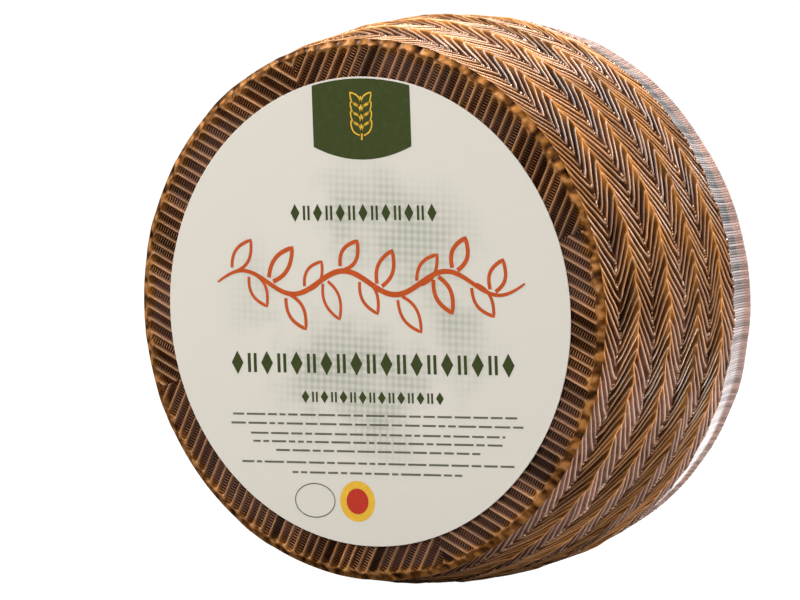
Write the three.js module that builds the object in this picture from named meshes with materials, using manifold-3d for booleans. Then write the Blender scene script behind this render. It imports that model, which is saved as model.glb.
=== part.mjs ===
// A wheel of manchego cheese standing on its rim, with a round paper label on its front face.
// Sizes are in millimetres and +Z is up. The wheel's axis lies along Y and its labelled face
// looks towards -Y. The origin is on the floor, under the middle of the wheel.

import * as THREE from 'three';
import { mergeGeometries, mergeVertices } from 'three/addons/utils/BufferGeometryUtils.js';
import Module from 'manifold-3d';

const wasm = await Module();
wasm.setup();

// The wheel's outline. Distances along the axis are counted back from the label's front.
const width = 102.7;
const midRadius = 98;
const fullestAt = 56;
const barrelDrop = 5.2;          // the side's radius is this much less ...
const barrelDropAt = 51;         // ... at this distance from its fullest part
const frontEdgeRound = 3.6;      // radius of the rounded edge round the front face
const frontEdgeEnd = 4.5;        // where that edge has turned into the side
const bandStart = 84.6;          // the plain band behind the last herringbone column
const bandWaistAt = 97.5;
const bandWaistRadius = 92.6;
const lipAt = 101;
const lipRadius = 93.2;
const lipBevel = 1;

// The wheel is a little out of round, more so towards its back.
const lobes = [
  { waves: 2, size: 0.68, at: -62 },
  { waves: 3, size: 0.53, at: -13 },
];

// The spot that it rests on, pressed flat and smooth
const flatSpotDepth = 0.65;
const pressedFlat = 0.35;        // what would be less than this above the floor lies on it
const smoothHalfWidth = 17;
const smoothHalfLength = 30;

// The herringbone of the side: bundles of three ridges, one bundle wide per column
const bundles = 45;
const ridgesPerBundle = 3;
const ridgeSpacing = 0.31;       // share of a bundle from one ridge to the next
const herringboneTurn = -2.1;
const columns = 9;
const firstColumnAt = 2;
const secondColumnAt = 10.2;
const columnPitch = 9.15;
const narrowDent = 1.1;
const wideDent = 1.5;

// The pattern of both faces: ridges nested in four corners that point at the middle
const ridgePitch = 3.69;
const ridgeHeight = 0.7;
const ridgeHalfBase = 0.9;
const ridgeRoot = 0.3;           // how deep each ridge is set into the face
const ridgeEndRadius = 89.9;
const ridgeEndSlope = 0.6;
const frontCornerAngle = 21;
const backCornerAngle = 39;
const frontValley = 1.3;
const backValley = width - ridgeHeight;

// The label and the smooth seat under it
const labelRadius = 80.1;
const labelThickness = 0.2;
const labelDrop = 0.5;           // the label's middle is this far below the wheel's
const seatRadius = 79.8;
const seatAt = 0.5;

const lineCount = bundles * ridgesPerBundle;
const bundleAngle = 2 * Math.PI / bundles;
const centreHeight = midRadius - flatSpotDepth;
const middle = width / 2;

function sideRadius(y) {
  return midRadius - barrelDrop * ((y - fullestAt) / barrelDropAt) ** 2;
}

function outOfRound(angle, y) {
  let offset = 0;
  for (const lobe of lobes) {
    offset += lobe.size * Math.cos(lobe.waves * (angle - THREE.MathUtils.degToRad(lobe.at)));
  }
  return offset * y / width;
}

// A point of the side, in the part's frame; nothing reaches below the floor.
function sidePoint(angle, y, radius) {
  const r = radius + outOfRound(angle, y);
  const z = centreHeight + r * Math.sin(angle);
  return new THREE.Vector3(r * Math.cos(angle), y - middle, z < pressedFlat ? 0 : z);
}

// 0 on the smooth flat spot, rising to 1 away from it
function reliefShare(angle, y) {
  const x = midRadius * Math.cos(angle);
  const below = Math.sin(angle) < 0;
  const away = Math.hypot(x / smoothHalfWidth, (y - fullestAt) / smoothHalfLength);
  return below ? THREE.MathUtils.smoothstep(away, 0.7, 1) : 1;
}

function columnEdge(k) {
  if (k === 0) {
    return firstColumnAt;
  }
  if (k === columns) {
    return bandStart;
  }
  return secondColumnAt + columnPitch * (k - 1);
}

// The angle of ridge i where it crosses column edge k: every other edge is a bundle further back.
function ridgeAngle(i, k) {
  const bundle = Math.floor(i / ridgesPerBundle);
  const share = (i % ridgesPerBundle) * ridgeSpacing;
  const shift = k <= columns && k % 2 === 1 ? -1 : 0;
  return (bundle + share + shift) * bundleAngle + THREE.MathUtils.degToRad(herringboneTurn);
}

// The rings of points round the wheel, from the front face to the back face
function ringProfile() {
  const edgeCentre = sideRadius(frontEdgeEnd) - frontEdgeRound;
  const onEdge = (y) => edgeCentre + Math.sqrt(frontEdgeRound ** 2 - (frontEdgeEnd - y) ** 2);
  const rings = [{ y: firstColumnAt, radius: onEdge(firstColumnAt) }];
  for (let k = 1; k <= columns; k++) {
    rings.push({ y: columnEdge(k), radius: sideRadius(columnEdge(k)) });
  }
  const halfway = (bandStart + bandWaistAt) / 2;
  const hollow = (sideRadius(bandStart) + bandWaistRadius) / 2 - 0.4;
  rings.push({ y: halfway, radius: hollow });
  rings.push({ y: bandWaistAt, radius: bandWaistRadius });
  rings.push({ y: lipAt, radius: lipRadius });
  rings.push({ y: backValley, radius: lipRadius - lipBevel });
  return { rings, faceRing: { y: frontValley, radius: onEdge(frontValley) } };
}

class MeshBuilder {
  constructor() {
    this.points = [];
    this.triangles = [];
  }

  add(point) {
    this.points.push(point);
    return this.points.length - 1;
  }

  triangle(a, b, c) {
    this.triangles.push([a, b, c]);
  }

  quad(a, b, c, d) {
    this.triangle(a, b, c);
    this.triangle(a, c, d);
  }

  // Six times the signed volume: negative when the faces point inwards
  signedVolume() {
    return this.triangles.reduce((sum, [a, b, c]) => {
      const [p, q, r] = [this.points[a], this.points[b], this.points[c]];
      return sum + p.dot(q.clone().cross(r));
    }, 0);
  }

  geometry() {
    const inwards = this.signedVolume() < 0;
    const index = this.triangles.flatMap(([a, b, c]) => (inwards ? [a, c, b] : [a, b, c]));
    const geometry = new THREE.BufferGeometry();
    geometry.setFromPoints(this.points);
    geometry.setIndex(index);
    return geometry;
  }
}

// One column of the side between ring k and ring k + 1: a dent between each two ridges, long
// with two lowest points between two bundles, and short with one elsewhere. The bundles of
// neighbouring columns are set off against each other.
function addColumn(mesh, near, far, k) {
  const [yNear, yFar] = [columnEdge(k), columnEdge(k + 1)];
  for (let i = 0; i < lineCount; i++) {
    const j = (i + 1) % lineCount;
    const turn = j === 0 ? 2 * Math.PI : 0;
    const nearAngle = (ridgeAngle(i, k) + ridgeAngle(j, k) + turn) / 2;
    const farAngle = (ridgeAngle(i, k + 1) + ridgeAngle(j, k + 1) + turn) / 2;
    const wide = i % ridgesPerBundle === (k % 2 === 1 ? ridgesPerBundle - 1 : 0);
    const low = (share, dent) => {
      const angle = nearAngle + (farAngle - nearAngle) * share;
      const y = yNear + (yFar - yNear) * share;
      const depth = dent * reliefShare(angle, y);
      return mesh.add(sidePoint(angle, y, sideRadius(y) - depth));
    };
    if (wide) {
      const p = low(0.3, wideDent);
      const q = low(0.7, wideDent);
      mesh.triangle(near[i], near[j], p);
      mesh.quad(near[j], far[j], q, p);
      mesh.quad(near[i], p, q, far[i]);
      mesh.triangle(far[i], q, far[j]);
    } else {
      const p = low(0.5, narrowDent);
      mesh.triangle(near[i], near[j], p);
      mesh.triangle(near[j], far[j], p);
      mesh.triangle(far[j], far[i], p);
      mesh.triangle(far[i], near[i], p);
    }
  }
}

function addPlainStrip(mesh, near, far) {
  for (let i = 0; i < lineCount; i++) {
    const j = (i + 1) % lineCount;
    mesh.quad(near[i], near[j], far[j], far[i]);
  }
}

function addFace(mesh, ring, y, towardsFront) {
  const centre = mesh.add(new THREE.Vector3(0, y - middle, centreHeight));
  for (let i = 0; i < lineCount; i++) {
    const j = (i + 1) % lineCount;
    if (towardsFront) {
      mesh.triangle(ring[j], ring[i], centre);
    } else {
      mesh.triangle(ring[i], ring[j], centre);
    }
  }
}

// The bare wheel: rings of points joined by the herringbone and by plain strips, with two flat faces
function wheelBody() {
  const mesh = new MeshBuilder();
  const { rings, faceRing } = ringProfile();
  const addRing = ({ y, radius }, k) => Array.from({ length: lineCount }, (_, i) =>
    mesh.add(sidePoint(ridgeAngle(i, k), y, radius)));
  const front = addRing(faceRing, 0);
  const loops = rings.map(addRing);
  addPlainStrip(mesh, front, loops[0]);
  for (let k = 0; k < columns; k++) {
    addColumn(mesh, loops[k], loops[k + 1], k);
  }
  // The last column ends a bundle back, so its ring is read one bundle on for the straight strips.
  const turned = loops[columns].map((_, i) =>
    loops[columns][(i + ridgesPerBundle * (columns % 2)) % lineCount]);
  addPlainStrip(mesh, turned, loops[columns + 1]);
  for (let k = columns + 1; k < loops.length - 1; k++) {
    addPlainStrip(mesh, loops[k], loops[k + 1]);
  }
  addFace(mesh, front, faceRing.y, true);
  addFace(mesh, loops.at(-1), backValley, false);
  return mesh.geometry();
}

// One corner of the face pattern: two ridges at right angles that meet in a mitre. Its point is
// towards the middle and its arms run out to the rim. toSpace puts a face point at a height
// above the valleys.
function cornerRidge(offset, cornerAngle, toSpace) {
  const mesh = new MeshBuilder();
  const towards = (angle) => new THREE.Vector2(Math.cos(angle), Math.sin(angle));
  const diagonal = towards(cornerAngle);
  const apex = diagonal.clone().multiplyScalar(offset * Math.SQRT2);
  const rootHalf = ridgeHalfBase * (ridgeHeight + ridgeRoot) / ridgeHeight;
  const mitre = diagonal.clone().multiplyScalar(rootHalf * Math.SQRT2);
  const crest = mesh.add(toSpace(apex, ridgeHeight));
  const outer = mesh.add(toSpace(apex.clone().sub(mitre), -ridgeRoot));
  const inner = mesh.add(toSpace(apex.clone().add(mitre), -ridgeRoot));
  for (const side of [1, -1]) {
    const along = towards(cornerAngle + side * Math.PI / 4);
    const across = towards(cornerAngle - side * Math.PI / 4).multiplyScalar(rootHalf);
    const reach = apex.dot(along);
    const length = Math.sqrt(reach ** 2 - apex.lengthSq() + ridgeEndRadius ** 2) - reach;
    const end = apex.clone().addScaledVector(along, length);
    const tip = end.clone().addScaledVector(along, -ridgeEndSlope);
    const endCrest = mesh.add(toSpace(tip, ridgeHeight));
    const endInner = mesh.add(toSpace(end.clone().add(across), -ridgeRoot));
    const endOuter = mesh.add(toSpace(end.clone().sub(across), -ridgeRoot));
    const faces = [
      [crest, endCrest, endInner, inner],
      [crest, outer, endOuter, endCrest],
      [outer, inner, endInner, endOuter],
    ];
    for (const face of faces) {
      mesh.quad(...(side === 1 ? face : face.reverse()));
    }
    if (side === 1) {
      mesh.triangle(endCrest, endOuter, endInner);
    } else {
      mesh.triangle(endCrest, endInner, endOuter);
    }
  }
  return mesh.geometry();
}

function faceRidges(cornerDegrees, toSpace) {
  const ridges = [];
  for (let corner = 0; corner < 4; corner++) {
    const angle = THREE.MathUtils.degToRad(cornerDegrees + 90 * corner);
    for (let offset = ridgePitch / 2; offset * Math.SQRT2 < ridgeEndRadius - 3; offset += ridgePitch) {
      ridges.push(cornerRidge(offset, angle, toSpace));
    }
  }
  return mergeGeometries(ridges);
}

function disc(radius, thickness, frontAt, height, sides) {
  const geometry = new THREE.CylinderGeometry(radius, radius, thickness, sides);
  geometry.translate(0, frontAt + thickness / 2 - middle, height);
  return geometry;
}

function toManifold(geometry) {
  const bare = geometry.clone();
  bare.deleteAttribute('normal');
  bare.deleteAttribute('uv');
  const merged = mergeVertices(bare, 1e-5);
  return new wasm.Manifold(new wasm.Mesh({
    numProp: 3,
    vertProperties: new Float32Array(merged.attributes.position.array),
    triVerts: new Uint32Array(merged.index.array),
  }));
}

function fromManifold(solid) {
  const { vertProperties, triVerts } = solid.getMesh();
  const geometry = new THREE.BufferGeometry();
  geometry.setAttribute('position', new THREE.BufferAttribute(vertProperties, 3));
  geometry.setIndex(new THREE.BufferAttribute(triVerts, 1));
  geometry.computeVertexNormals();
  return geometry;
}

function cheeseWheel() {
  const onFront = (point, height) =>
    new THREE.Vector3(point.x, frontValley - height - middle, centreHeight + point.y);
  const onBack = (point, height) =>
    new THREE.Vector3(point.x, backValley + height - middle, centreHeight + point.y);
  const seat = disc(seatRadius, frontValley, seatAt, centreHeight - labelDrop, 72);
  const solid = toManifold(wheelBody())
    .add(toManifold(faceRidges(frontCornerAngle, onFront)))
    .add(toManifold(faceRidges(backCornerAngle, onBack)))
    .add(toManifold(seat));
  const rind = new THREE.MeshStandardMaterial({ color: 0x8a5a34, roughness: 0.5, metalness: 0 });
  const mesh = new THREE.Mesh(fromManifold(solid), rind);
  mesh.name = 'cheese_wheel';
  return mesh;
}

function label() {
  const paper = new THREE.MeshStandardMaterial({ color: 0xd8d2c6, roughness: 0.6, metalness: 0 });
  const geometry = disc(labelRadius, labelThickness, 0, centreHeight - labelDrop, 96);
  const mesh = new THREE.Mesh(geometry, paper);
  mesh.name = 'label';
  return mesh;
}

const part = new THREE.Group();
part.add(cheeseWheel());
part.add(label());

export default part;
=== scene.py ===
import bpy
import numpy as np
from mathutils import Matrix, Vector


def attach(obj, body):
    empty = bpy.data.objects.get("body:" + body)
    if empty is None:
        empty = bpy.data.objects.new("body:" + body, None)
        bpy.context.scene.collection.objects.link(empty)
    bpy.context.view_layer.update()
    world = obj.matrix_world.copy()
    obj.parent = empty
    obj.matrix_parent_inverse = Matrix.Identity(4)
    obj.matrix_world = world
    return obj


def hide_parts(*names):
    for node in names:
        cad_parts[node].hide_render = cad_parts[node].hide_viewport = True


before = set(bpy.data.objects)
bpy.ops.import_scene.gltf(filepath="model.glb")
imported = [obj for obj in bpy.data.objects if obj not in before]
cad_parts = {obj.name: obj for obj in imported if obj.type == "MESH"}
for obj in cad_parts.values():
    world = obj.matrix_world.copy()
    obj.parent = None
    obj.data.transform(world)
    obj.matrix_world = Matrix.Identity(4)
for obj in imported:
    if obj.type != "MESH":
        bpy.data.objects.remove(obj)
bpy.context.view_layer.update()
mm = 0.001
turn = 2 * np.pi

# The wheel's outline, in millimetres. Depths are counted back from the label's front.
wheel = {
    "width": 102.7,
    "midRadius": 98.0,
    "fullestAt": 56.0,
    "barrelDrop": 5.2,
    "barrelDropAt": 51.0,
    "centreHeight": 97.35,
    "pressedFlat": 0.35,
    "lobes": ((2, 0.68, -62), (3, 0.53, -13)),
    "smoothHalfWidth": 17.0,
    "smoothHalfLength": 30.0,
    "smoothDrop": 0.9,
    "wallLift": 0.15,
    "lumpSizes": ((26.0, 5, 0.22), (9.0, 6, 0.07)),  # wavelength, seed and height of each
}


# 0 below low, 1 above high, and 3t^2 - 2t^3 of the share t between
def smooth(value, low, high):
    share = np.clip((value - low) / (high - low), 0, 1)
    return share * share * (3 - 2 * share)


# The side bulges as a parabola about its fullest depth
def sideRadius(depth):
    away = (depth - wheel["fullestAt"]) / wheel["barrelDropAt"]
    return wheel["midRadius"] - wheel["barrelDrop"] * away**2


# How far the outline strays from round: a few cosines that grow with the depth
def outOfRound(angle, depth):
    offset = 0
    for waves, size, at in wheel["lobes"]:
        offset = offset + size * np.cos(waves * (angle - np.radians(at)))
    return offset * depth / wheel["width"]


# 0 on the smooth spot that the wheel rests on, 1 away from it
def reliefShare(angle, depth):
    x = wheel["midRadius"] * np.cos(angle) / wheel["smoothHalfWidth"]
    y = (depth - wheel["fullestAt"]) / wheel["smoothHalfLength"]
    return np.where(np.sin(angle) < 0, smooth(np.hypot(x, y), 0.7, 1.15), 1.0)


# Points of the part's frame, in metres, from angle, depth and distance to the axis
def toPoints(angle, depth, radius):
    r = radius + outOfRound(angle, depth)
    x = r * np.cos(angle)
    z = wheel["centreHeight"] + r * np.sin(angle)
    z = np.where(z < wheel["pressedFlat"], 0.02 + 0.03 * z, z)
    y = depth - wheel["width"] / 2
    return np.stack(np.broadcast_arrays(x, y, np.maximum(z, 0.0)), axis=-1) * mm


# Soft lumps that close on themselves round the wheel: a sum of waves of about one length
def lumps(angle, depth, wavelength, seed, count=14):
    dice = np.random.default_rng(seed)
    total = 0
    for _ in range(count):
        lean = dice.uniform(0, np.pi)
        length = wavelength * dice.uniform(0.7, 1.5)
        around = np.round(turn * 95 * np.cos(lean) / length)
        along = turn * np.sin(lean) / length
        total = total + np.sin(around * angle + along * depth + dice.uniform(0, turn))
    return total / np.sqrt(count)


# A grid of points, rows by columns, closed round its columns; the faces look outwards
def gridFaces(rows, cols):
    i, j = np.meshgrid(np.arange(rows - 1), np.arange(cols), indexing="ij")
    right = (j + 1) % cols
    quads = [i * cols + j, i * cols + right, (i + 1) * cols + right, (i + 1) * cols + j]
    return np.stack(quads, axis=-1).reshape(-1, 4)


# A smooth-shaded mesh object from points in metres and faces that all have as many corners
def makeMesh(name, points, faces, relief=None):
    mesh = bpy.data.meshes.new(name)
    points = np.asarray(points, np.float32).reshape(-1, 3)
    faces = np.asarray(faces, np.int32)
    corners = faces.shape[1]
    mesh.vertices.add(len(points))
    mesh.vertices.foreach_set("co", points.ravel())
    mesh.loops.add(faces.size)
    mesh.loops.foreach_set("vertex_index", faces.ravel())
    mesh.polygons.add(len(faces))
    mesh.polygons.foreach_set("loop_start", np.arange(0, faces.size, corners, dtype=np.int32))
    mesh.polygons.foreach_set("use_smooth", np.ones(len(faces), bool))
    mesh.update(calc_edges=True)
    if relief is not None:
        layer = mesh.attributes.new("relief", "FLOAT_COLOR", "POINT")
        layer.data.foreach_set("color", np.asarray(relief, np.float32).ravel())
    piece = bpy.data.objects.new(name, mesh)
    bpy.context.scene.collection.objects.link(piece)
    return piece


# A piece's material, the body it rides on, and the CAD node it stands for, which it hides
def dress(piece, material, node):
    piece.data.materials.append(material)
    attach(piece, "root")
    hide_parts(node)
    return piece


# A socket that takes part in sums: each operator adds a Math node
class Wire:
    def __init__(self, tree, socket):
        self.tree = tree
        self.socket = socket

    def math(self, operation, other=None, third=None, clamp=False):
        made = self.tree.nodes.new("ShaderNodeMath")
        made.operation = operation
        made.use_clamp = clamp
        for slot, value in enumerate((self, other, third)):
            if value is not None:
                plug(self.tree, made.inputs[slot], value)
        return Wire(self.tree, made.outputs[0])

    def __add__(self, other):
        return self.math("ADD", other)

    def __radd__(self, other):
        return self.math("ADD", other)

    def __sub__(self, other):
        return self.math("SUBTRACT", other)

    def __rsub__(self, other):
        return (self * -1).math("ADD", other)

    def __mul__(self, other):
        return self.math("MULTIPLY", other)

    def __rmul__(self, other):
        return self.math("MULTIPLY", other)

    def __truediv__(self, other):
        return self.math("DIVIDE", other)

    def clamp(self):
        return self.math("ADD", 0.0, clamp=True)

    def between(self, low, high, start=0.0, end=1.0):
        return addNode(
            self.tree, "ShaderNodeMapRange", {"interpolation_type": "SMOOTHSTEP"},
            **{"Value": self, "From Min": low, "From Max": high, "To Min": start, "To Max": end},
        )["Result"]


def plug(tree, socket, value):
    if isinstance(value, Wire):
        tree.links.new(value.socket, socket)
    elif isinstance(value, (tuple, list)) and len(value) == 3 and len(socket.default_value) == 4:
        socket.default_value = (*value, 1.0)
    else:
        socket.default_value = value


# Any node: its settings are set first, then its inputs by name; gives its outputs by name
def addNode(tree, kind, settings=None, **inputs):
    made = tree.nodes.new(kind)
    for key, value in (settings or {}).items():
        if key == "stops":
            ramp = made.color_ramp
            while len(ramp.elements) < len(value):
                ramp.elements.new(0.5)
            for element, (at, colour) in zip(ramp.elements, value):
                element.position = at
                element.color = (*colour, 1.0)
        else:
            setattr(made, key, value)
    for key, value in inputs.items():
        enabled = [s for s in made.inputs if s.name == key and s.enabled]
        plug(tree, enabled[0] if enabled else made.inputs[key], value)
    return {s.name: Wire(tree, s) for s in reversed(made.outputs) if s.enabled}


def mixColour(tree, share, first, second, blend="MIX"):
    settings = {"data_type": "RGBA", "blend_type": blend}
    return addNode(tree, "ShaderNodeMix", settings, Factor=share, A=first, B=second)["Result"]


def startMaterial(name):
    material = bpy.data.materials.new(name)
    material.use_nodes = True
    tree = material.node_tree
    return material, tree, tree.nodes["Principled BSDF"]


def setShader(tree, shader, **values):
    for key, value in values.items():
        plug(tree, shader.inputs[key], value)


rindLook = {
    "deep": (0.010, 0.0022, 0.0004),
    "groove": (0.034, 0.0085, 0.0020),
    "flank": (0.135, 0.047, 0.014),
    "crest": (0.600, 0.300, 0.130),
    "golden": (0.262, 0.102, 0.020),
    "purple": (0.170, 0.096, 0.078),
    "paintedLight": (0.300, 0.170, 0.135),
    "paintedLightShare": 0.9,
    "pale": (0.620, 0.480, 0.380),
    "glint": (0.850, 0.800, 0.720),
    "roughness": 0.40,
    "coat": 1.0,
    "coatRoughness": 0.22,
    "specular": 0.01,
    "rampStops": (0.10, 0.42, 0.74, 1.0),
    "patchScale": 26.0,
    "stainScale": 150.0,
    "grainScale": 900.0,
    "speckScale": 2600.0,
    "patchShare": 0.70,
    "darkest": 0.35,
    "bumpStrength": 0.4,
    "bumpMetres": 0.0004,
}


# The relief attribute holds, for each point: how high it lies (0 deep in a groove, 1 on top),
# its golden share (below 0 its share of painted mauve sheen), its share of a rib's edge (well above
# 1 a painted white glint), and its tone. The colour runs up a ramp with the height, darker in the
# grooves partly as the rind's colour and partly as painted shade; then patches, gold, the painted
# sheen and painted highlights on the rib edges are mixed over it, and tone and noise darken it.
def rindMaterial(name, look):
    material, tree, shader = startMaterial(name)
    relief = addNode(tree, "ShaderNodeAttribute", {"attribute_name": "relief"})
    parts = addNode(tree, "ShaderNodeSeparateColor", None, Color=relief["Color"])
    lift, golden, edge, tint = parts["Red"], parts["Green"], parts["Blue"], relief["Alpha"]
    place = addNode(tree, "ShaderNodeTexCoord")["Object"]

    def noise(scale, detail=3.0, rough=0.55):
        return addNode(
            tree, "ShaderNodeTexNoise", None, Vector=place, Scale=scale, Detail=detail, Roughness=rough
        )["Fac"]

    patches = noise(look["patchScale"], 3.0)
    stains = noise(look["stainScale"], 3.0, 0.6)
    grain = noise(look["grainScale"], 3.0, 0.7)
    specks = noise(look["speckScale"], 2.0, 0.6)
    height = (lift + (grain - 0.5) * 0.20 + (stains - 0.5) * 0.25).clamp()
    colours = [look[part] for part in ("deep", "groove", "flank", "crest")]
    stops = list(zip(look["rampStops"], colours))
    # The ramp darkens the grooves: partly the rind's own darker colour, partly painted shade
    base = addNode(tree, "ShaderNodeValToRGB", {"stops": stops}, Fac=height)["Color"]
    dull = patches.between(0.40, 0.58) * look["patchShare"] * (1 - golden * 3).clamp()
    # Painted mauve sheen: where golden is below 0 a pale mauve is mixed over the colour, and the rib tops
    # turn pale
    paintedLight = (golden * -1).clamp() * stains.between(0.30, 0.55, 0.45, 1.0) * look["paintedLightShare"]
    base = mixColour(tree, (dull * height).clamp(), base, look["purple"])
    base = mixColour(tree, (paintedLight * height).clamp(), base, look["paintedLight"])
    warm = (golden * (0.35 + 0.65 * height) * (0.6 + 0.8 * stains)).clamp()
    base = mixColour(tree, warm, base, look["golden"])
    # Painted highlights: the rib edges are mixed towards a pale crest colour, paler still in the painted
    # sheen
    ribTop = mixColour(tree, (golden * -1).clamp(), look["crest"], look["pale"])
    base = mixColour(tree, (edge * (0.45 + 0.8 * (grain - 0.3))).clamp(), base, ribTop)
    shade = look["darkest"] + tint + 0.5 * (patches - 0.5) + 0.5 * (specks - 0.5)
    grey = addNode(tree, "ShaderNodeCombineColor", None, Red=shade, Green=shade, Blue=shade)["Color"]
    base = mixColour(tree, 1.0, base, grey, "MULTIPLY")
    # Painted highlights: near-white glints where the edge share is well above 1
    base = mixColour(tree, edge.between(1.15, 1.35), base, look["glint"])
    rough = look["roughness"] + 0.25 * (grain - 0.5) + 0.22 * (1 - lift)
    bumpHeight = grain * 0.6 + specks * 0.4
    bump = addNode(
        tree, "ShaderNodeBump", None,
        Strength=look["bumpStrength"], Distance=look["bumpMetres"], Height=bumpHeight,
    )["Normal"]
    setShader(tree, shader, **{
        "Base Color": base, "Roughness": rough, "Normal": bump,
        "Coat Weight": (edge * look["coat"]).clamp(), "Coat Roughness": look["coatRoughness"],
        "Specular IOR Level": look["specular"],
    })
    return material


herringbone = {
    "bundles": 45,
    "samplesPerBundle": 42,
    "turnDegrees": 0.4,
    "columnEdges": (2.0, 10.2, 19.35, 28.5, 37.65, 46.8, 55.95, 65.1, 74.25, 84.6),
    "rowShares": (0.0, 0.05, 0.10, 0.20, 0.35, 0.5, 0.65, 0.80, 0.90, 0.95),
    "lean": 1.14,
    "evenRidges": (-0.50, -0.17, 0.14),
    "oddRidges": (-0.16, 0.18, 0.51),
    "troughDepth": 0.22,
    "grooveDepth": 0.85,
    "bundleBow": 0.08,
    "wallSwing": 0.7,
    "columnsPerPiece": 3,
    "ridgeJitter": 0.018,
    "crestDropMost": 0.22,
    "grooveShares": (0.75, 1.2),
    "tintSpread": 0.25,
    "patchSizes": (0.55, 1.15),
    "patchWidth": 0.27,
    "oddPatchAt": 0.22,
    "evenPatchAt": -0.20,
    "sunkDrop": 0.45,
    "edgeHalfWidth": 0.26,
    "paintedGlintChance": 0.22,
    "oddTone": 0.30,
    "evenTone": -0.15,
    "seed": 41,
}
# The painted mauve sheen on the lower right of the side: where it starts and ends round the wheel, and
# what it does to both columns
paintedLightPlan = {
    "startDegrees": 14,
    "fullDegrees": -24,
    "fadeDegrees": -46,
    "endDegrees": -78,
    "oddLevel": 0.22,
    "oddPaintedLight": 0.9,
    "oddTone": 0.35,
    "evenGolden": 0.18,
}


# How near a value on the bundle's round is to a place on it: 1 there, falling off as a bell
def nearPlace(value, at, width):
    away = (value - at + 0.5) % 1 - 0.5
    return np.exp(-((away / width) ** 2))


# One column's relief: how far each sample lies below the wall tops, and its colour shares.
# Between two ridges the groove is half an ellipse; at both ends of the column everything
# rises to the wall, and smooth golden patches fill the grooves beside every second wall.
def columnRelief(column, spots, share):
    pattern = herringbone
    odd = column % 2 == 1
    dice = np.random.default_rng(pattern["seed"] + column)
    bundles = pattern["bundles"]
    offsets = np.array(pattern["oddRidges"] if odd else pattern["evenRidges"])
    ridges = (np.arange(bundles)[:, None] + offsets[None]).ravel()
    ridges = ridges + dice.normal(0, pattern["ridgeJitter"], ridges.size)
    crestDrop = dice.uniform(0, pattern["crestDropMost"], ridges.size)
    grooveShare = dice.uniform(*pattern["grooveShares"], ridges.size)
    tints = np.clip(dice.normal(0.5, pattern["tintSpread"], ridges.size), 0, 1)
    bundleTints = np.clip(dice.normal(0.5, pattern["tintSpread"], bundles), 0, 1)
    patchSizes = dice.uniform(*pattern["patchSizes"], bundles)
    first = ridges[0]
    spot = (spots - first) % bundles + first
    index = np.clip(np.searchsorted(ridges, spot, side="right") - 1, 0, ridges.size - 1)
    following = (index + 1) % ridges.size
    left = ridges[index]
    right = np.where(following == 0, ridges[0] + bundles, ridges[following])
    width = right - left
    across = np.clip((spot - left) / width, 0, 1)
    arc = (4 * across * (1 - across)) ** 0.6
    crest = crestDrop[index] * (1 - across) + crestDrop[following] * across
    body = 1 - np.abs(2 * share - 1) ** 9  # 0 on the walls, 1 between them
    if odd:
        patchShare = 1 - smooth(share, 0.06, 0.46)
        patch = nearPlace(spot, pattern["oddPatchAt"], pattern["patchWidth"]) * patchShare
        glintShare = smooth(share, 0.90, 0.99)
    else:
        patchShare = smooth(share, 0.54, 0.94)
        patch = nearPlace(spot, pattern["evenPatchAt"], pattern["patchWidth"]) * patchShare
        glintShare = 1 - smooth(share, 0.01, 0.10)
    patch = patch * patchSizes[index // 3]
    deep = pattern["grooveDepth"] * (width * 3) ** 0.7 * grooveShare[index]
    deep = deep * (1 - 0.72 * np.clip(patch, 0, 1))
    bow = pattern["bundleBow"] * 0.5 * (1 + np.cos(turn * (spot - offsets[1])))
    trough = pattern["troughDepth"] * np.sin(np.pi * share) ** 0.8
    drop = trough + body * (deep * arc + crest + bow)
    # the dark walls lie lower than the golden ones
    sunk = smooth(share, 0.8, 1.0) if odd else 1 - smooth(share, 0.0, 0.2)
    drop = drop + pattern["sunkDrop"] * sunk
    millimetres = turn * 96 / bundles
    ridgeAway = np.minimum(across, 1 - across) * width * millimetres * 0.55
    # The edge share along each rib is painted as a pale highlight and also gives the coat
    edge = np.exp(-((ridgeAway / pattern["edgeHalfWidth"]) ** 2)) * (0.25 + 0.75 * body) * (1 - 0.5 * sunk)
    # Painted glints: random points by the dark walls get an edge share of 1.5, which the material paints
    # near white
    paintedGlints = dice.uniform(0, 1, spot.size) > 1 - pattern["paintedGlintChance"]
    edge = np.where(paintedGlints * glintShare > 0.6, 1.5, edge)
    golden = 0.9 * patch + 0.35 * patchShare**2 + 0.06 * bundleTints[index // 3] + 0.08 * odd
    # Darker down in the grooves and on the sunk walls: partly the rind's colour, partly painted shade in
    # the crevices
    level = 1 - body * arc * (0.92 - 0.5 * np.clip(patch, 0, 1)) - 0.45 * sunk
    tone = 0.6 * tints[index] + 0.4 * bundleTints[index // 3]
    tone = tone + pattern["oddTone" if odd else "evenTone"]
    return drop, level, np.clip(golden, 0, 1), edge, tone


# How far round a column's ribs have come at a share of its width, in bundles
def leanShare(share):
    middle = 0.5 + (share - 0.5) * herringbone["lean"]
    return np.where((share < 0.02) | (share > 0.98), share, middle)


# 1 on the lower right of the side, where every second column gets a painted mauve sheen, 0 elsewhere
def lowShare(angle):
    degrees = (np.degrees(angle) + 180) % 360 - 180
    come = smooth(-degrees, -paintedLightPlan["startDegrees"], -paintedLightPlan["fullDegrees"])
    return come * smooth(degrees, paintedLightPlan["endDegrees"], paintedLightPlan["fadeDegrees"])


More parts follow.
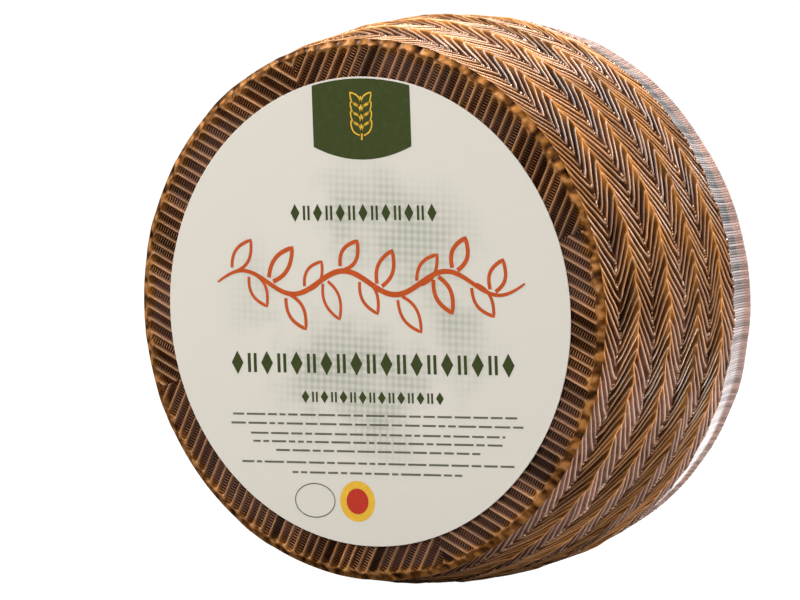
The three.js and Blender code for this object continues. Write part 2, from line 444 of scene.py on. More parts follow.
# The side's rows from one column to another. A column's rows turn with the share of its width,
# one way in odd columns and the other in even ones, so that its ribs lie aslant. Gives arrays of
# angle, depth, drop, level, golden, edge and tone, a row to each row of points.
def sideRows(fromColumn, toColumn):
    pattern = herringbone
    bundles = pattern["bundles"]
    count = bundles * pattern["samplesPerBundle"]
    spots = np.arange(count) / pattern["samplesPerBundle"]
    edges = pattern["columnEdges"]
    rows = []
    for column in range(fromColumn, toColumn + 1):
        shares = pattern["rowShares"]
        if column == toColumn:
            shares = shares + (1.0,)
        near, far = edges[column - 1], edges[column]
        for share in shares:
            odd = column % 2 == 1
            shift = -leanShare(share) if odd else leanShare(share) - 1
            place = spots + shift
            nearSwing = wallSwing(place, column - 1) * (1 - smooth(share, 0, 0.2))
            farSwing = wallSwing(place, column) * smooth(share, 0.8, 1)
            depth = near + (far - near) * share + nearSwing + farSwing
            drop, level, golden, edge, tone = columnRelief(column, spots, share)
            angle = place / bundles * turn + np.radians(pattern["turnDegrees"])
            low = lowShare(angle)
            # On the lower right the odd columns are painted lighter, paler and mauve, a painted sheen; the
            # even ones get more gold
            if odd:
                level = level + paintedLightPlan["oddLevel"] * low * (1 - level)
                golden = golden - paintedLightPlan["oddPaintedLight"] * low
                tone = tone + paintedLightPlan["oddTone"] * low
            else:
                golden = golden + paintedLightPlan["evenGolden"] * low
            rows.append((angle, depth, drop, level, golden, edge, tone))
    return [np.array(part) for part in zip(*rows)]


# Where two columns meet, the wall swings to and fro once per bundle: towards the front at one
# place of the bundle, back at another, along half a cosine between them.
def wallSwing(place, edge):
    if edge == 0:
        return 0 * place
    pattern = herringbone
    dice = np.random.default_rng(900 + edge)
    sizes = dice.uniform(0.6, 1.3, pattern["bundles"])
    frontAt, backAt = (-0.05, 0.53) if edge % 2 == 1 else (-0.10, 0.30)
    since = (place - frontAt) % pattern["bundles"]
    bundle = since.astype(int) % pattern["bundles"]
    share = since % 1
    reach = backAt - frontAt
    phase = np.where(share < reach, share / reach, (1 - share) / (1 - reach))
    return -pattern["wallSwing"] * np.cos(np.pi * phase) * sizes[bundle]


# Some columns of the side: its bulge, less each point's drop, plus two sizes of lumps, all of
# which fade out to a smooth hollow where the wheel rests
def sidePiece(name, fromColumn, toColumn, material):
    angle, depth, drop, level, golden, edge, tone = sideRows(fromColumn, toColumn)
    share = reliefShare(angle, depth)
    wave = sum(lumps(angle, depth, size, seed) * high for size, seed, high in wheel["lumpSizes"])
    rise = (wheel["wallLift"] - drop + wave) * share
    radius = sideRadius(depth) + rise - wheel["smoothDrop"] * (1 - share)
    relief = np.stack([np.clip(level, 0, 1), golden, edge * share, tone], axis=-1)
    points = toPoints(angle, depth, radius)
    piece = makeMesh(name, points, gridFaces(*angle.shape), relief)
    return dress(piece, material, "cheese_wheel")


rind = rindMaterial("rind", rindLook)
columnCount = len(herringbone["columnEdges"]) - 1
step = herringbone["columnsPerPiece"]
for number, start in enumerate(range(1, columnCount + 1, step)):
    sidePiece(f"rind_side_{number + 1}", start, start + step - 1, rind)
print("side made")


facePattern = {
    "quarterDegrees": (65, 155, 245, 335),
    "pitch": (3.603, 3.647, 3.651, 3.606),
    "crestAt": (0.29, 0.09, 0.31, 0.40),
    "crestHeight": 1.1,
    "crestHalfWidth": 0.58,
    "barPitch": 0.97,
    "barHeight": 0.42,
    "endRadius": 89.9,
    "endSpread": 0.9,
    "endRound": 1.7,
    "seed": 77,
}


# Height of the nested ridges above their valleys, at points of a face. Each quarter has straight
# ridges along its middle direction, each a bell across; between them lie rows of small bars, and
# each valley ends in a round wall near the rim.
def faceHeight(x, z, turnedDegrees, pattern):
    angle = np.degrees(np.arctan2(z, x))
    quarter = np.floor(((angle - pattern["quarterDegrees"][0] - turnedDegrees + 45) % 360) / 90)
    side = quarter.astype(int) % 4
    direction = np.radians(np.array(pattern["quarterDegrees"])[side] + turnedDegrees)
    pitch = np.array(pattern["pitch"])[side]
    across = -x * np.sin(direction) + z * np.cos(direction)
    along = x * np.cos(direction) + z * np.sin(direction)
    count = 64
    dice = np.random.default_rng(pattern["seed"])
    wobble = dice.normal(0, 0.035, (4, count))
    phases = dice.uniform(0, 1, (4, count))
    tones = np.clip(dice.normal(0.5, 0.25, (4, count)), 0, 1)
    barSizes = dice.uniform(0.45, 1.25, (4, count))
    ends = pattern["endRadius"] + dice.uniform(-1, 0.8, (4, count)) * pattern["endSpread"]
    # a lane runs from valley to valley, with its crest half way
    spot = across / pitch - np.array(pattern["crestAt"])[side] + 0.5
    lane = np.clip(np.floor(spot).astype(int) + count // 2, 1, count - 2)
    inLane = spot - np.floor(spot)
    away = (inLane - 0.5 - wobble[side, lane]) * pitch
    crest = np.exp(-np.abs(away / pattern["crestHalfWidth"]) ** 2.2)
    valley = np.clip(np.floor(spot + 0.5).astype(int) + count // 2, 1, count - 2)
    inValley = np.abs(inLane - 0.5) * 2  # 0 on a crest, 1 in the middle of a valley
    bars = np.cos(turn * (along / pattern["barPitch"] + phases[side, valley]))
    ladder = smooth(inValley, 0.36, 0.62) * barSizes[side, valley]
    height = pattern["crestHeight"] * crest + pattern["barHeight"] * (bars + 1) * 0.5 * ladder
    reach = np.sqrt(np.maximum(ends[side, valley] ** 2 - across**2, 0))
    toEnd = reach - along - 1.3 * (1 - inValley) ** 2
    bend = np.sqrt(np.maximum(1 - np.clip(1 - toEnd / pattern["endRound"], 0, 1) ** 2, 0))
    wall = (1 - bend) * pattern["crestHeight"] * 1.02
    height = np.where(along > 70, np.maximum(height, wall), height)
    return height, crest, ladder, bars, tones[side, valley], toEnd


ringPlan = {
    "innerRadius": 79.2,
    "faceRows": 50,
    "faceOuter": 90.4,
    "edgeRows": 10,
    "valleyDepth": 1.55,
    "edgeRound": 3.6,
    "edgeEnd": 4.5,
    "lumpHeight": 0.16,
}


# Points of the front face from its ridges' height: the valleys' depth less that height, going
# over to the edge's quarter circle outside the ridges' ends. Gives angle, depth, radius, relief.
def frontSurface(angle, radius, depth):
    plan = ringPlan
    x, z = radius * np.cos(angle), radius * np.sin(angle)
    height, crest, ladder, bars, tone, toEnd = faceHeight(x, z, 0, facePattern)
    rim = smooth(radius, 89.2, 90.5)
    onFace = 1 - smooth(radius, 90.0, 91.2)
    top = facePattern["crestHeight"]
    lift = height * onFace + top * (1 - onFace)
    high = plan["lumpHeight"]
    wave = lumps(angle, radius, 5.5, 12) * high + lumps(angle, radius, 2.6, 13) * 0.5 * high
    forward = (plan["valleyDepth"] - lift - wave * rim) * onFace + (depth - wave) * (1 - onFace)
    outward = radius + wave * (1 - onFace)
    ended = smooth(-toEnd, -2.6, -0.4)
    golden = np.clip(np.maximum(0.75 * rim, 0.7 * ended) * (0.85 + 0.3 * wave / high), 0, 1)
    # Darker in the valleys, lighter on the crests, and an edge share along the crests that the material
    # paints as a pale highlight: partly the rind's colour, partly painted shade and painted highlights
    level = (0.34 + 0.56 * np.clip(lift / top, 0, 1) + 0.40 * ladder * bars) * (1 - rim)
    # On the rim the lumps' tops are painted lighter and their hollows darker: painted light and shade
    level = level + (0.68 + 0.22 * wave / high) * rim
    edge = crest * (1 - rim) * 0.62 + 0.2 * rim * np.clip(wave / high, 0, 1)
    tone = tone * (1 - rim) + (0.45 + 0.18 * wave / high) * rim
    relief = np.stack([np.clip(level, 0, 1), golden, edge, tone], axis=-1)
    return forward, outward, relief


# The edge's rows, as angles on its quarter circle, from the face to the first column
def edgeBow():
    plan = ringPlan
    centre = sideRadius(plan["edgeEnd"]) - plan["edgeRound"]
    firstBow = np.arcsin((plan["faceOuter"] - centre) / plan["edgeRound"])
    lastBow = np.arccos((plan["edgeEnd"] - herringbone["columnEdges"][0]) / plan["edgeRound"])
    bow = np.linspace(firstBow, lastBow, plan["edgeRows"])
    radii = centre + plan["edgeRound"] * np.sin(bow)
    depths = plan["edgeEnd"] - plan["edgeRound"] * np.cos(bow)
    return radii, depths


# The ring of the front face round the label, and the rounded edge from it to the first column
def ringPieces(material):
    plan, pattern = ringPlan, herringbone
    count = pattern["bundles"] * pattern["samplesPerBundle"]
    angles = (np.arange(count) / pattern["samplesPerBundle"]) / pattern["bundles"] * turn
    angles = angles + np.radians(pattern["turnDegrees"])
    edgeRadii, edgeDepths = edgeBow()
    faceRadii = np.linspace(plan["innerRadius"], plan["faceOuter"], plan["faceRows"])
    angle, radius = np.meshgrid(angles, faceRadii)
    forward, outward, relief = frontSurface(angle, radius, np.full_like(angle, edgeDepths[0]))
    points = toPoints(angle, forward, outward)
    piece = makeMesh("rind_front_ring", points, gridFaces(*angle.shape), relief)
    dress(piece, material, "cheese_wheel")

    angle, radius = np.meshgrid(angles, edgeRadii)
    depth = np.broadcast_to(edgeDepths[:, None], angle.shape)
    forward, outward, relief = frontSurface(angle, radius, depth)
    # the first column's grooves run out over the edge, and its first row ends it
    _, firstDepth, drop, level, golden, edge, tone = (part[0] for part in sideRows(1, 1))
    share = smooth(np.linspace(0, 1, plan["edgeRows"]), 0.0, 0.6)[:, None]
    outward = outward * (1 - share) + share * (radius + wheel["wallLift"] - drop)
    outward[-1] = sideRadius(firstDepth) + wheel["wallLift"] - drop
    forward[-1] = firstDepth
    relief[..., 2] = relief[..., 2] * (1 - share) + share * edge
    points = toPoints(angle, forward, outward)
    piece = makeMesh("rind_front_edge", points, gridFaces(*angle.shape), relief)
    dress(piece, material, "cheese_wheel")


ringPieces(rind)
print("front ring made")

# The band's pale grey-lavender colours are a painted reflection of the bright backdrop at a grazing angle;
# the lip is mostly gold
bandLook = {
    **rindLook,
    "deep": (0.060, 0.035, 0.032),
    "groove": (0.200, 0.140, 0.130),
    "flank": (0.540, 0.495, 0.500),
    "crest": (0.770, 0.755, 0.765),
    "golden": (0.300, 0.140, 0.085),
    "purple": (0.330, 0.270, 0.290),
    "specular": 0.5,
}
bandPlan = {
    "ribs": 630,
    "samplesPerRib": 6,
    "startDepth": 84.2,
    "waistDepth": 97.5,
    "waistRadius": 92.6,
    "lipDepths": (98.6, 99.8, 101.0, 101.6, 102.0),
    "lipRadii": (92.7, 92.95, 93.2, 92.9, 92.3),
    "ribHeight": 0.32,
    "beadLength": 2.2,
    "palestAt": -50.0,
    "rows": 23,
}


# The band's outline: from under the herringbone straight to the waist, less half a sine, and
# then the lip. Gives depths and radii.
def bandProfile():
    plan = bandPlan
    startRadius = sideRadius(plan["startDepth"]) - 0.9
    share = np.linspace(0, 1, plan["rows"] - 5)
    depth = plan["startDepth"] + (plan["waistDepth"] - plan["startDepth"]) * share
    radius = startRadius + (plan["waistRadius"] - startRadius) * share
    radius = radius - 0.5 * np.sin(np.pi * share)
    depths = np.concatenate([depth, plan["lipDepths"]])
    return depths, np.concatenate([radius, plan["lipRadii"]])


# Each rib is half a sine across, of its own size, and beaded along its length, half a bead on
# from its neighbour
def bandPiece(material):
    plan = bandPlan
    count = plan["ribs"] * plan["samplesPerRib"]
    angles = np.arange(count) / count * turn
    depths, radii = bandProfile()
    angle, radius = np.meshgrid(angles, radii)
    depth = np.broadcast_to(depths[:, None], angle.shape)
    rib = np.arange(count) // plan["samplesPerRib"]
    dice = np.random.default_rng(3)
    size = dice.uniform(0.7, 1.2, plan["ribs"])[rib]
    tone = dice.uniform(0.2, 0.8, plan["ribs"])[rib]
    within = np.arange(count) % plan["samplesPerRib"] / plan["samplesPerRib"]
    profile = np.sin(np.pi * within) ** 0.8 * size
    beads = 0.5 + 0.5 * np.sin(turn * depth / plan["beadLength"] + np.pi * (rib % 2))
    share = reliefShare(angle, depth)
    lift = profile[None] * (0.50 + 0.50 * beads)
    wave = lumps(angle, depth, 24.0, 8) * 0.2
    radius = radius + (plan["ribHeight"] * lift + wave) * share
    lip = smooth(depth, 95.0, 98.5)
    # Painted light: the band's ribs are painted paler and lighter towards palestAt, on the lower right,
    # and darker away from it
    paintedLight = (0.5 + 0.5 * np.cos(angle - np.radians(plan["palestAt"]))) ** 8
    level = 0.18 + 0.78 * lift * (1 - 0.35 * lip)
    level = level + 0.8 * paintedLight * (1 - level)
    golden = np.clip(0.85 * lip + 0.35 * (1 - paintedLight) * (1 - lip), 0, 1)
    tones = tone + (1.75 * paintedLight - 0.68) * (1 - lip)
    relief = np.stack([level, golden, 0.25 * lift * (1 - lip), tones], axis=-1)
    piece = makeMesh("rind_band", toPoints(angle, depth, radius), gridFaces(*angle.shape), relief)
    return dress(piece, material, "cheese_wheel")


bandPiece(rindMaterial("rind_band", bandLook))
print("band made")

backPattern = {
    **facePattern,
    "pitch": (3.63, 3.63, 3.63, 3.63),
    "crestAt": (0.5, 0.5, 0.5, 0.5),
    "seed": 78,
}
backPlan = {
    "turnedDegrees": 19.0,
    "rimRadius": 92.3,
    "rimDepth": 102.0,
    "rowsPerHalf": 84,
    "rimCount": 1152,
    "valleyDepth": 101.5,
}


# Rows of points, each a radius and a count: the count halves each time the radius does
def discRows(fromHalving, toHalving):
    rows = []
    for halving in range(fromHalving, toHalving):
        outer = backPlan["rimRadius"] / 2**halving
        steps = backPlan["rowsPerHalf"] // 2**halving
        count = backPlan["rimCount"] // 2**halving
        rows += [(outer * (1 - 0.5 * step / steps), count) for step in range(steps)]
    last = backPlan["rimRadius"] / 2**toHalving, backPlan["rimCount"] // 2**toHalving
    return rows + [last]


# Triangles between each two rows, where the next row has as many points or half as many
def discFaces(counts, starts, closed):
    triangles = []
    for n, m, a, b in zip(counts[:-1], counts[1:], starts[:-1], starts[1:]):
        i = np.arange(m)
        nextI = (i + 1) % m
        if n == m:
            triangles.append(np.stack([a + i, b + i, a + nextI], axis=-1))
            triangles.append(np.stack([a + nextI, b + i, b + nextI], axis=-1))
        else:
            first, middle, last = a + 2 * i, a + 2 * i + 1, a + (2 * i + 2) % n
            triangles.append(np.stack([first, b + i, middle], axis=-1))
            triangles.append(np.stack([middle, b + i, b + nextI], axis=-1))
            triangles.append(np.stack([middle, b + nextI, last], axis=-1))
    if closed:
        i = np.arange(counts[-1])
        a = starts[len(counts) - 1]
        centre = np.full_like(i, a + counts[-1])
        triangles.append(np.stack([a + i, centre, a + (i + 1) % counts[-1]], axis=-1))
    return np.concatenate(triangles)


# Part of the back face, between two halvings of its radius: valleys' depth plus ridges' height
def backPiece(name, fromHalving, toHalving, closed, material):
    plan = backPlan
    rows = discRows(fromHalving, toHalving)
    counts = [count for _, count in rows]
    starts = np.concatenate([[0], np.cumsum(counts)])
    angle = np.concatenate([np.arange(n) / n * turn for n in counts] + [[0.0]] * closed)
    radius = np.concatenate([np.full(n, r) for r, n in rows] + [[0.0]] * closed)
    x, z = radius * np.cos(angle), radius * np.sin(angle)
    height, crest, ladder, bars, tone, toEnd = faceHeight(x, z, plan["turnedDegrees"], backPattern)
    top = backPattern["crestHeight"]
    rim = smooth(radius, 88.8, 90.8)
    wave = lumps(angle, radius, 5.5, 22) * 0.14 * rim
    lift = height * (1 - rim) + top * rim
    fall = plan["valleyDepth"] + top - plan["rimDepth"]
    depth = plan["valleyDepth"] + lift - smooth(radius, 90.8, 92.3) * fall
    depth = depth + wave * (1 - smooth(radius, 91.3, 92.3))
    ended = smooth(-toEnd, -2.6, -0.4)
    golden = np.clip(np.maximum(0.75 * rim, 0.6 * ended) * (0.8 + 3.0 * wave), 0, 1)
    # Darker in the valleys and an edge share along the crests: partly the rind's colour, partly painted
    # shade and painted highlights
    level = np.clip(lift / top, 0, 1) * 0.9 + 0.22 * ladder * bars
    relief = np.stack([np.clip(level, 0, 1), golden, crest * (1 - rim) * 0.8, tone], axis=-1)
    points = toPoints(angle, depth, radius)
    piece = makeMesh(name, points, discFaces(counts, starts, closed), relief)
    return dress(piece, material, "cheese_wheel")


backPiece("rind_back_outer", 0, 1, False, rind)
backPiece("rind_back_inner", 1, 5, True, rind)
print("back face made")

labelPlan = {
    "radius": 80.1,
    "thickness": 0.42,
    "drop": 0.5,
    "printTurn": 2.3,
    "printLift": 0.03,
}
labelHeight = wheel["centreHeight"] - labelPlan["drop"]


# A point of the label's print, from its own level frame to the part's frame, in metres
def onLabel(x, z, lift=0.0):
    lean = np.radians(labelPlan["printTurn"])
    across = x * np.cos(lean) - z * np.sin(lean)
    up = x * np.sin(lean) + z * np.cos(lean)
    y = np.full_like(across, -wheel["width"] / 2 - lift)
    return np.stack([across, y, up + labelHeight], axis=-1) * mm


paperLook = {
    "light": (0.728, 0.683, 0.603),
    "dark": (0.700, 0.655, 0.575),
    "wash": (0.330, 0.355, 0.265),
    "washShare": 0.75,
    "checkMetres": 0.0025,
    "washRadius": 0.062,
    "roughness": 0.55,
}


# Off-white paper with a faded wash of soft checks: two square waves of one pitch, each darkening
# by half, inside a round patch about the label's middle that noise makes uneven.
def paperMaterial(look):
    material, tree, shader = startMaterial("label_paper")
    place = addNode(tree, "ShaderNodeTexCoord")["Object"]
    parts = addNode(tree, "ShaderNodeSeparateXYZ", None, Vector=place)
    x, z = parts["X"], parts["Z"] - labelHeight * mm

    def noise(scale, detail=3.0):
        return addNode(
            tree, "ShaderNodeTexNoise", None, Vector=place, Scale=scale, Detail=detail, Roughness=0.6
        )["Fac"]

    def stripes(along):
        wave = (along * (turn / look["checkMetres"])).math("SINE")
        return wave.between(-0.5, 0.5)

    fibre = noise(700.0, 4.0)
    base = mixColour(tree, fibre, look["dark"], look["light"])
    checks = 0.5 * stripes(x) + 0.5 * stripes(z)
    away = (x * x + z * z).math("SQRT") / look["washRadius"]
    inside = away.between(0.55, 1.0, 1.0, 0.0)
    cloud = noise(26.0).between(0.40, 0.66)
    wash = (inside * cloud * (0.35 + 0.65 * checks) * look["washShare"]).clamp()
    base = mixColour(tree, wash, base, look["wash"])
    bump = addNode(
        tree, "ShaderNodeBump", None, Strength=0.12, Distance=0.0002, Height=fibre
    )["Normal"]
    setShader(tree, shader, **{"Base Color": base, "Roughness": look["roughness"], "Normal": bump})
    return material


# The paper disc: a flat front, a tiny bevel at its edge, and a flat back against the cheese
def labelDisc(material):
    plan = labelPlan
    count = 256
    outer, back = plan["radius"], plan["thickness"]
    radii = np.array([0.02, 20, 40, 60, outer - 0.07, outer - 0.05, outer, outer - 0.02, 60, 0.02])
    depths = np.array([0, 0, 0, 0, 0, 0, 0.04, back, back, back])
    angle, radius = np.meshgrid(np.arange(count) / count * turn, radii)
    y = np.broadcast_to(depths[:, None], angle.shape) - wheel["width"] / 2
    points = np.stack(
        [radius * np.cos(angle), y, labelHeight + radius * np.sin(angle)], axis=-1
    ) * mm
    piece = makeMesh("label_paper", points, gridFaces(*angle.shape))
    return dress(piece, material, "label")


labelDisc(paperMaterial(paperLook))
print("label made")

# Plain shapes printed on the label, in millimetres from its middle in the print's own frame.
# A row of marks is its left and right end, bottom, top, and number of marks; a row of hairlines
# is its height and its two ends.
printPlan = {
    "tab": {"left": -18.9, "right": 20.2, "sideLow": 56.3, "middleLow": 51.9, "margin": 0.6},
    "markRows": (
        (-29.7, 29.7, 30.7, 36.9, 13),
        (-56.0, 58.5, -21.8, -13.6, 19),
        (-27.7, 30.0, -31.4, -27.0, 15),
    ),
    "hairlines": (
        (-35.4, -55.6, 59.7), (-38.5, -56.4, 60.5), (-41.9, -48.5, 53.3), (-44.7, -47.7, 52.1),
        (-47.7, -38.5, 43.3), (-51.8, -52.5, 56.5), (-55.2, -32.1, 36.5),
    ),
    "hairlineWidth": 0.7,
    "vine": {"left": -60.0, "right": 63.0, "middle": 10.0, "swing": 4.0, "waves": 3, "leaves": 15},
    "leaf": {"length": 15.0, "halfWidth": 3.1},
    "strokeWidth": 1.6,
    "sprig": {"at": (0.6, 58.5), "length": 15.0, "leafLength": 6.5, "leafHalfWidth": 1.5},
    "oval": {"at": (-23.3, -64.8), "halfSize": (8.0, 5.8), "width": 0.4},
    "seal": {"at": (-6.2, -64.8), "radius": 7.0, "spotRadius": 4.4},
    "seed": 19,
}
inks = {
    "green": (0.041, 0.055, 0.011),
    "orange": (0.500, 0.078, 0.012),
    "grey": (0.130, 0.125, 0.085),
    "ochre": (0.780, 0.450, 0.040),
    "red": (0.500, 0.035, 0.018),
}


# An ink that noise thins in places
def inkMaterial(colour):
    material, tree, shader = startMaterial("ink_" + colour)
    place = addNode(tree, "ShaderNodeTexCoord")["Object"]
    cover = addNode(
        tree, "ShaderNodeTexNoise", None, Vector=place, Scale=500.0, Detail=4.0, Roughness=0.7
    )["Fac"]
    thin = tuple(part * 1.2 + 0.003 for part in inks[colour])
    base = mixColour(tree, cover.between(0.45, 0.75), inks[colour], thin)
    bump = addNode(
        tree, "ShaderNodeBump", None, Strength=0.1, Distance=0.0001, Height=cover
    )["Normal"]
    setShader(tree, shader, **{"Base Color": base, "Roughness": 0.6, "Normal": bump})
    setShader(tree, shader, **{"Specular IOR Level": 0.15})
    return material


# A band of a width along a path: points half the width to either side, joined by quads
def ribbon(path, width):
    along = np.gradient(path, axis=0)
    along = along / np.linalg.norm(along, axis=1)[:, None]
    outwards = np.stack([-along[:, 1], along[:, 0]], axis=1) * np.reshape(width, (-1, 1)) / 2
    points = np.concatenate([path + outwards, path - outwards])
    n = len(path)
    faces = [(n + i, n + i + 1, i + 1, i) for i in range(n - 1)]
    return points, faces


# A closed outline, counterclockwise, filled by one face
def patch(outline):
    return np.array(outline), [tuple(range(len(outline)))]


# Points round an ellipse
def oval(at, halfSize, count=64):
    angles = np.arange(count) / count * turn
    return np.stack([at[0] + halfSize[0] * np.cos(angles), at[1] + halfSize[1] * np.sin(angles)], 1)


# A leaf's outline as one path, out along one side and back along the other: half a sine wide
def leafPath(base, lean, length, halfWidth):
    share = np.concatenate([np.linspace(0.1, 1, 16), np.linspace(1, 0.1, 16)[1:]])
    side = np.concatenate([np.ones(16), -np.ones(15)])
    across = side * halfWidth * np.sin(np.pi * share) ** 0.9
    x = base[0] + share * length * np.cos(lean) - across * np.sin(lean)
    z = base[1] + share * length * np.sin(lean) + across * np.cos(lean)
    return np.stack([x, z], axis=1)


# Several flat shapes as one mesh in the label's plane, lifted off the paper
def printPiece(name, shapes, colour, lift):
    points, faces = [], []
    for corners, itsFaces in shapes:
        first = sum(len(part) for part in points)
        points.append(corners)
        faces += [tuple(first + corner for corner in face) for face in itsFaces]
    flat = np.concatenate(points)
    mesh = bpy.data.meshes.new(name)
    mesh.from_pydata(onLabel(flat[:, 0], flat[:, 1], lift).tolist(), [], faces)
    piece = bpy.data.objects.new(name, mesh)
    bpy.context.scene.collection.objects.link(piece)
    return dress(piece, inkMaterial(colour), "label")


# The tab hangs from the label's edge: its top is the label's circle, its foot a parabola
def tabShape():
    tab = printPlan["tab"]
    x = np.linspace(tab["left"], tab["right"], 48)
    top = np.sqrt((labelPlan["radius"] - tab["margin"]) ** 2 - x**2)
    share = (x - (tab["left"] + tab["right"]) / 2) / ((tab["right"] - tab["left"]) / 2)
    foot = tab["middleLow"] + (tab["sideLow"] - tab["middleLow"]) * share**2
    outline = np.concatenate([np.stack([x, foot], 1), np.stack([x, top], 1)[::-1]])
    return patch(outline)


# Rows of lozenges and short upright bars by turns
def markShapes():
    shapes = []
    for left, right, low, high, count in printPlan["markRows"]:
        pitch = (right - left) / count
        middle, half = (low + high) / 2, (high - low) / 2
        for mark in range(count):
            x = left + pitch * (mark + 0.5)
            if mark % 2 == 0:
                wide = 0.40 * pitch
                shapes.append(patch([(x - wide, middle), (x, low), (x + wide, middle), (x, high)]))
            else:
                for sideways in (-0.2, 0.2):
                    at = x + sideways * pitch
                    wide, tall = 0.10 * pitch, 0.8 * half
                    shapes.append(patch([
                        (at - wide, middle - tall), (at + wide, middle - tall),
                        (at + wide, middle + tall), (at - wide, middle + tall),
                    ]))
    return shapes


# Rows of thin dashes of uneven length
def hairlineShapes():
    dice = np.random.default_rng(printPlan["seed"])
    half = printPlan["hairlineWidth"] / 2
    shapes = []
    for height, left, right in printPlan["hairlines"]:
        at = left
        while at < right - 1:
            end = min(at + dice.uniform(2.0, 8.0), right)
            shapes.append(patch([
                (at, height - half), (end, height - half), (end, height + half), (at, height + half)
            ]))
            at = end + 1.1
    return shapes


# A vine across the label: a stem swinging as a sine, with outlined leaves above and below
def vineShapes():
    vine, leaf = printPlan["vine"], printPlan["leaf"]
    dice = np.random.default_rng(printPlan["seed"] + 1)
    share = np.linspace(0, 1, 160)
    x = vine["left"] + (vine["right"] - vine["left"]) * share
    z = vine["middle"] + vine["swing"] * np.sin(turn * vine["waves"] * share)
    width = printPlan["strokeWidth"] * (0.35 + 0.85 * np.sin(np.pi * share) ** 0.5)
    shapes = []
    for number in range(vine["leaves"]):
        at = int(8 + number * 144 / vine["leaves"])
        above = 1 if number % 2 == 0 else -1
        lean = above * np.radians(dice.uniform(48, 72))
        length = leaf["length"] * dice.uniform(0.8, 1.05)
        path = leafPath((x[at], z[at]), lean, length, leaf["halfWidth"])
        shapes.append(ribbon(path, printPlan["strokeWidth"] * dice.uniform(0.7, 1.1)))
    return ribbon(np.stack([x, z], axis=1), width), shapes


# A sprig: a straight stem with four pairs of outlined leaves
def sprigShapes():
    sprig = printPlan["sprig"]
    x, low = sprig["at"]
    stem = np.stack([np.full(12, x), np.linspace(low, low + sprig["length"], 12)], axis=1)
    shapes = []
    for level in np.linspace(0.1, 0.75, 4):
        base = (x, low + level * sprig["length"])
        for lean in (50, 130):
            path = leafPath(base, np.radians(lean), sprig["leafLength"], sprig["leafHalfWidth"])
            shapes.append(ribbon(path, 0.5))
    return shapes + [ribbon(stem, 0.6)]


ovalPlan, sealPlan = printPlan["oval"], printPlan["seal"]
ovalPath = oval(ovalPlan["at"], ovalPlan["halfSize"])
ovalPath = np.concatenate([ovalPath, ovalPath[:1]])
sealDisc = oval(sealPlan["at"], (sealPlan["radius"], sealPlan["radius"]))
sealSpot = oval(sealPlan["at"], (sealPlan["spotRadius"], sealPlan["spotRadius"]))
lift = labelPlan["printLift"]
printPiece("label_tab", [tabShape()], "green", lift)
printPiece("label_marks", markShapes(), "green", lift)
printPiece("label_hairlines", hairlineShapes() + [ribbon(ovalPath, ovalPlan["width"])], "grey", lift)
stem, leaves = vineShapes()
printPiece("label_leaves", leaves, "orange", lift)
printPiece("label_stem", [stem], "orange", 2 * lift)
printPiece("label_sprig", sprigShapes(), "ochre", 2 * lift)
printPiece("label_seal", [patch(sealDisc)], "ochre", lift)
printPiece("label_spot", [patch(sealSpot)], "red", 2 * lift)
print("print made")

view = {
    "azimuth": 31.59,
    "elevation": 4.99,
    "distance": 2.2,
    "lens": 291.25,
    "right": 0.0114,
    "up": 0.00411,
}


studio = {
    "world": 0.10,
    "worldSeen": 1.0,
    "floorHalf": 4.0,
    "floorGrey": 0.14,
    "floorGlow": 0.60,
    "glowStrength": 1.70,
    "aim": (0, 0, 0.1),
    "lights": {
        "top": {"at": (0.15, 0.30, 1.20), "size": (1.0, 0.8), "watts": 34},
        "left": {"at": (-0.90, -0.20, 1.10), "size": (0.8, 0.8), "watts": 35},
        "back": {"at": (0.10, 1.40, 0.45), "size": (1.4, 0.8), "watts": 9},
        "right": {"at": (1.20, 0.05, 0.08), "size": (0.7, 0.3), "watts": 19},
        "front": {"at": (-0.30, -1.60, 1.10), "size": (1.2, 1.2), "watts": 21},
    },
}


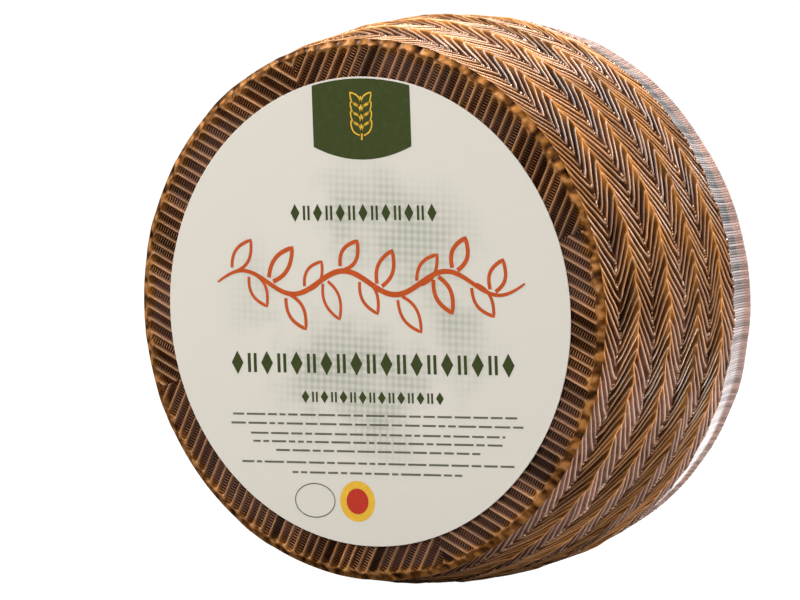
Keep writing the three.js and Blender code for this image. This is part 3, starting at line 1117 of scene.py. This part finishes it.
# The camera looks at the label's middle from its azimuth and elevation, moved a little sideways
def placeCamera():
    azimuth, elevation = np.radians(view["azimuth"]), np.radians(view["elevation"])
    back = Vector((
        np.sin(azimuth) * np.cos(elevation), -np.cos(azimuth) * np.cos(elevation), np.sin(elevation)
    ))
    right = Vector((np.cos(azimuth), np.sin(azimuth), 0))
    up = back.cross(right)
    centre = Vector((0, -wheel["width"] / 2 * mm, labelHeight * mm))
    data = bpy.data.cameras.new("camera")
    data.lens = view["lens"]
    data.sensor_width = 36
    data.clip_end = 50
    camera = bpy.data.objects.new("camera", data)
    where = centre + back * view["distance"] + right * view["right"] + up * view["up"]
    turned = Matrix((right, up, back)).transposed().to_4x4()
    camera.matrix_world = Matrix.Translation(where) @ turned
    bpy.context.scene.collection.objects.link(camera)
    bpy.context.scene.camera = camera


def addLight(name, where, aim, size, power):
    data = bpy.data.lights.new(name, "AREA")
    data.shape = "RECTANGLE"
    data.size, data.size_y = size
    data.energy = power
    lamp = bpy.data.objects.new(name, data)
    lamp.location = where
    lamp.rotation_euler = (Vector(aim) - Vector(where)).to_track_quat("-Z", "Y").to_euler()
    bpy.context.scene.collection.objects.link(lamp)


# The camera sees the floor almost evenly white, as paper under strong light; what the floor
# throws back on the wheel is less.
def makeFloor():
    size = studio["floorHalf"]
    points = np.array([[-size, -size, 0], [size, -size, 0], [size, size, 0], [-size, size, 0]])
    floor = makeMesh("floor", points, np.array([[0, 1, 2, 3]]))
    material, tree, shader = startMaterial("floor")
    grey = studio["floorGrey"]
    setShader(tree, shader, **{"Base Color": (grey, grey, grey), "Roughness": 0.9})
    setShader(tree, shader, **{"Specular IOR Level": 0.1})
    seen = addNode(tree, "ShaderNodeLightPath")["Is Camera Ray"]
    glow = addNode(tree, "ShaderNodeEmission", None, Color=(1, 1, 1), Strength=studio["glowStrength"])
    mixed = tree.nodes.new("ShaderNodeMixShader")
    plug(tree, mixed.inputs[0], seen * studio["floorGlow"])
    tree.links.new(shader.outputs[0], mixed.inputs[1])
    tree.links.new(glow["Emission"].socket, mixed.inputs[2])
    tree.links.new(mixed.outputs[0], tree.nodes["Material Output"].inputs[0])
    floor.data.materials.append(material)


# A white world, dim for what it lights and bright for the camera
def makeWorld():
    world = bpy.data.worlds.new("studio")
    world.use_nodes = True
    tree = world.node_tree
    background = tree.nodes["Background"]
    seen = addNode(tree, "ShaderNodeLightPath")["Is Camera Ray"]
    plug(tree, background.inputs["Color"], (1, 1, 1))
    plug(tree, background.inputs["Strength"], studio["world"] + seen * studio["worldSeen"])
    bpy.context.scene.world = world


placeCamera()
makeFloor()
makeWorld()
for name, lamp in studio["lights"].items():
    addLight(name, lamp["at"], studio["aim"], lamp["size"], lamp["watts"])
bpy.context.scene.view_settings.view_transform = "Standard"
print("camera, floor and light set")
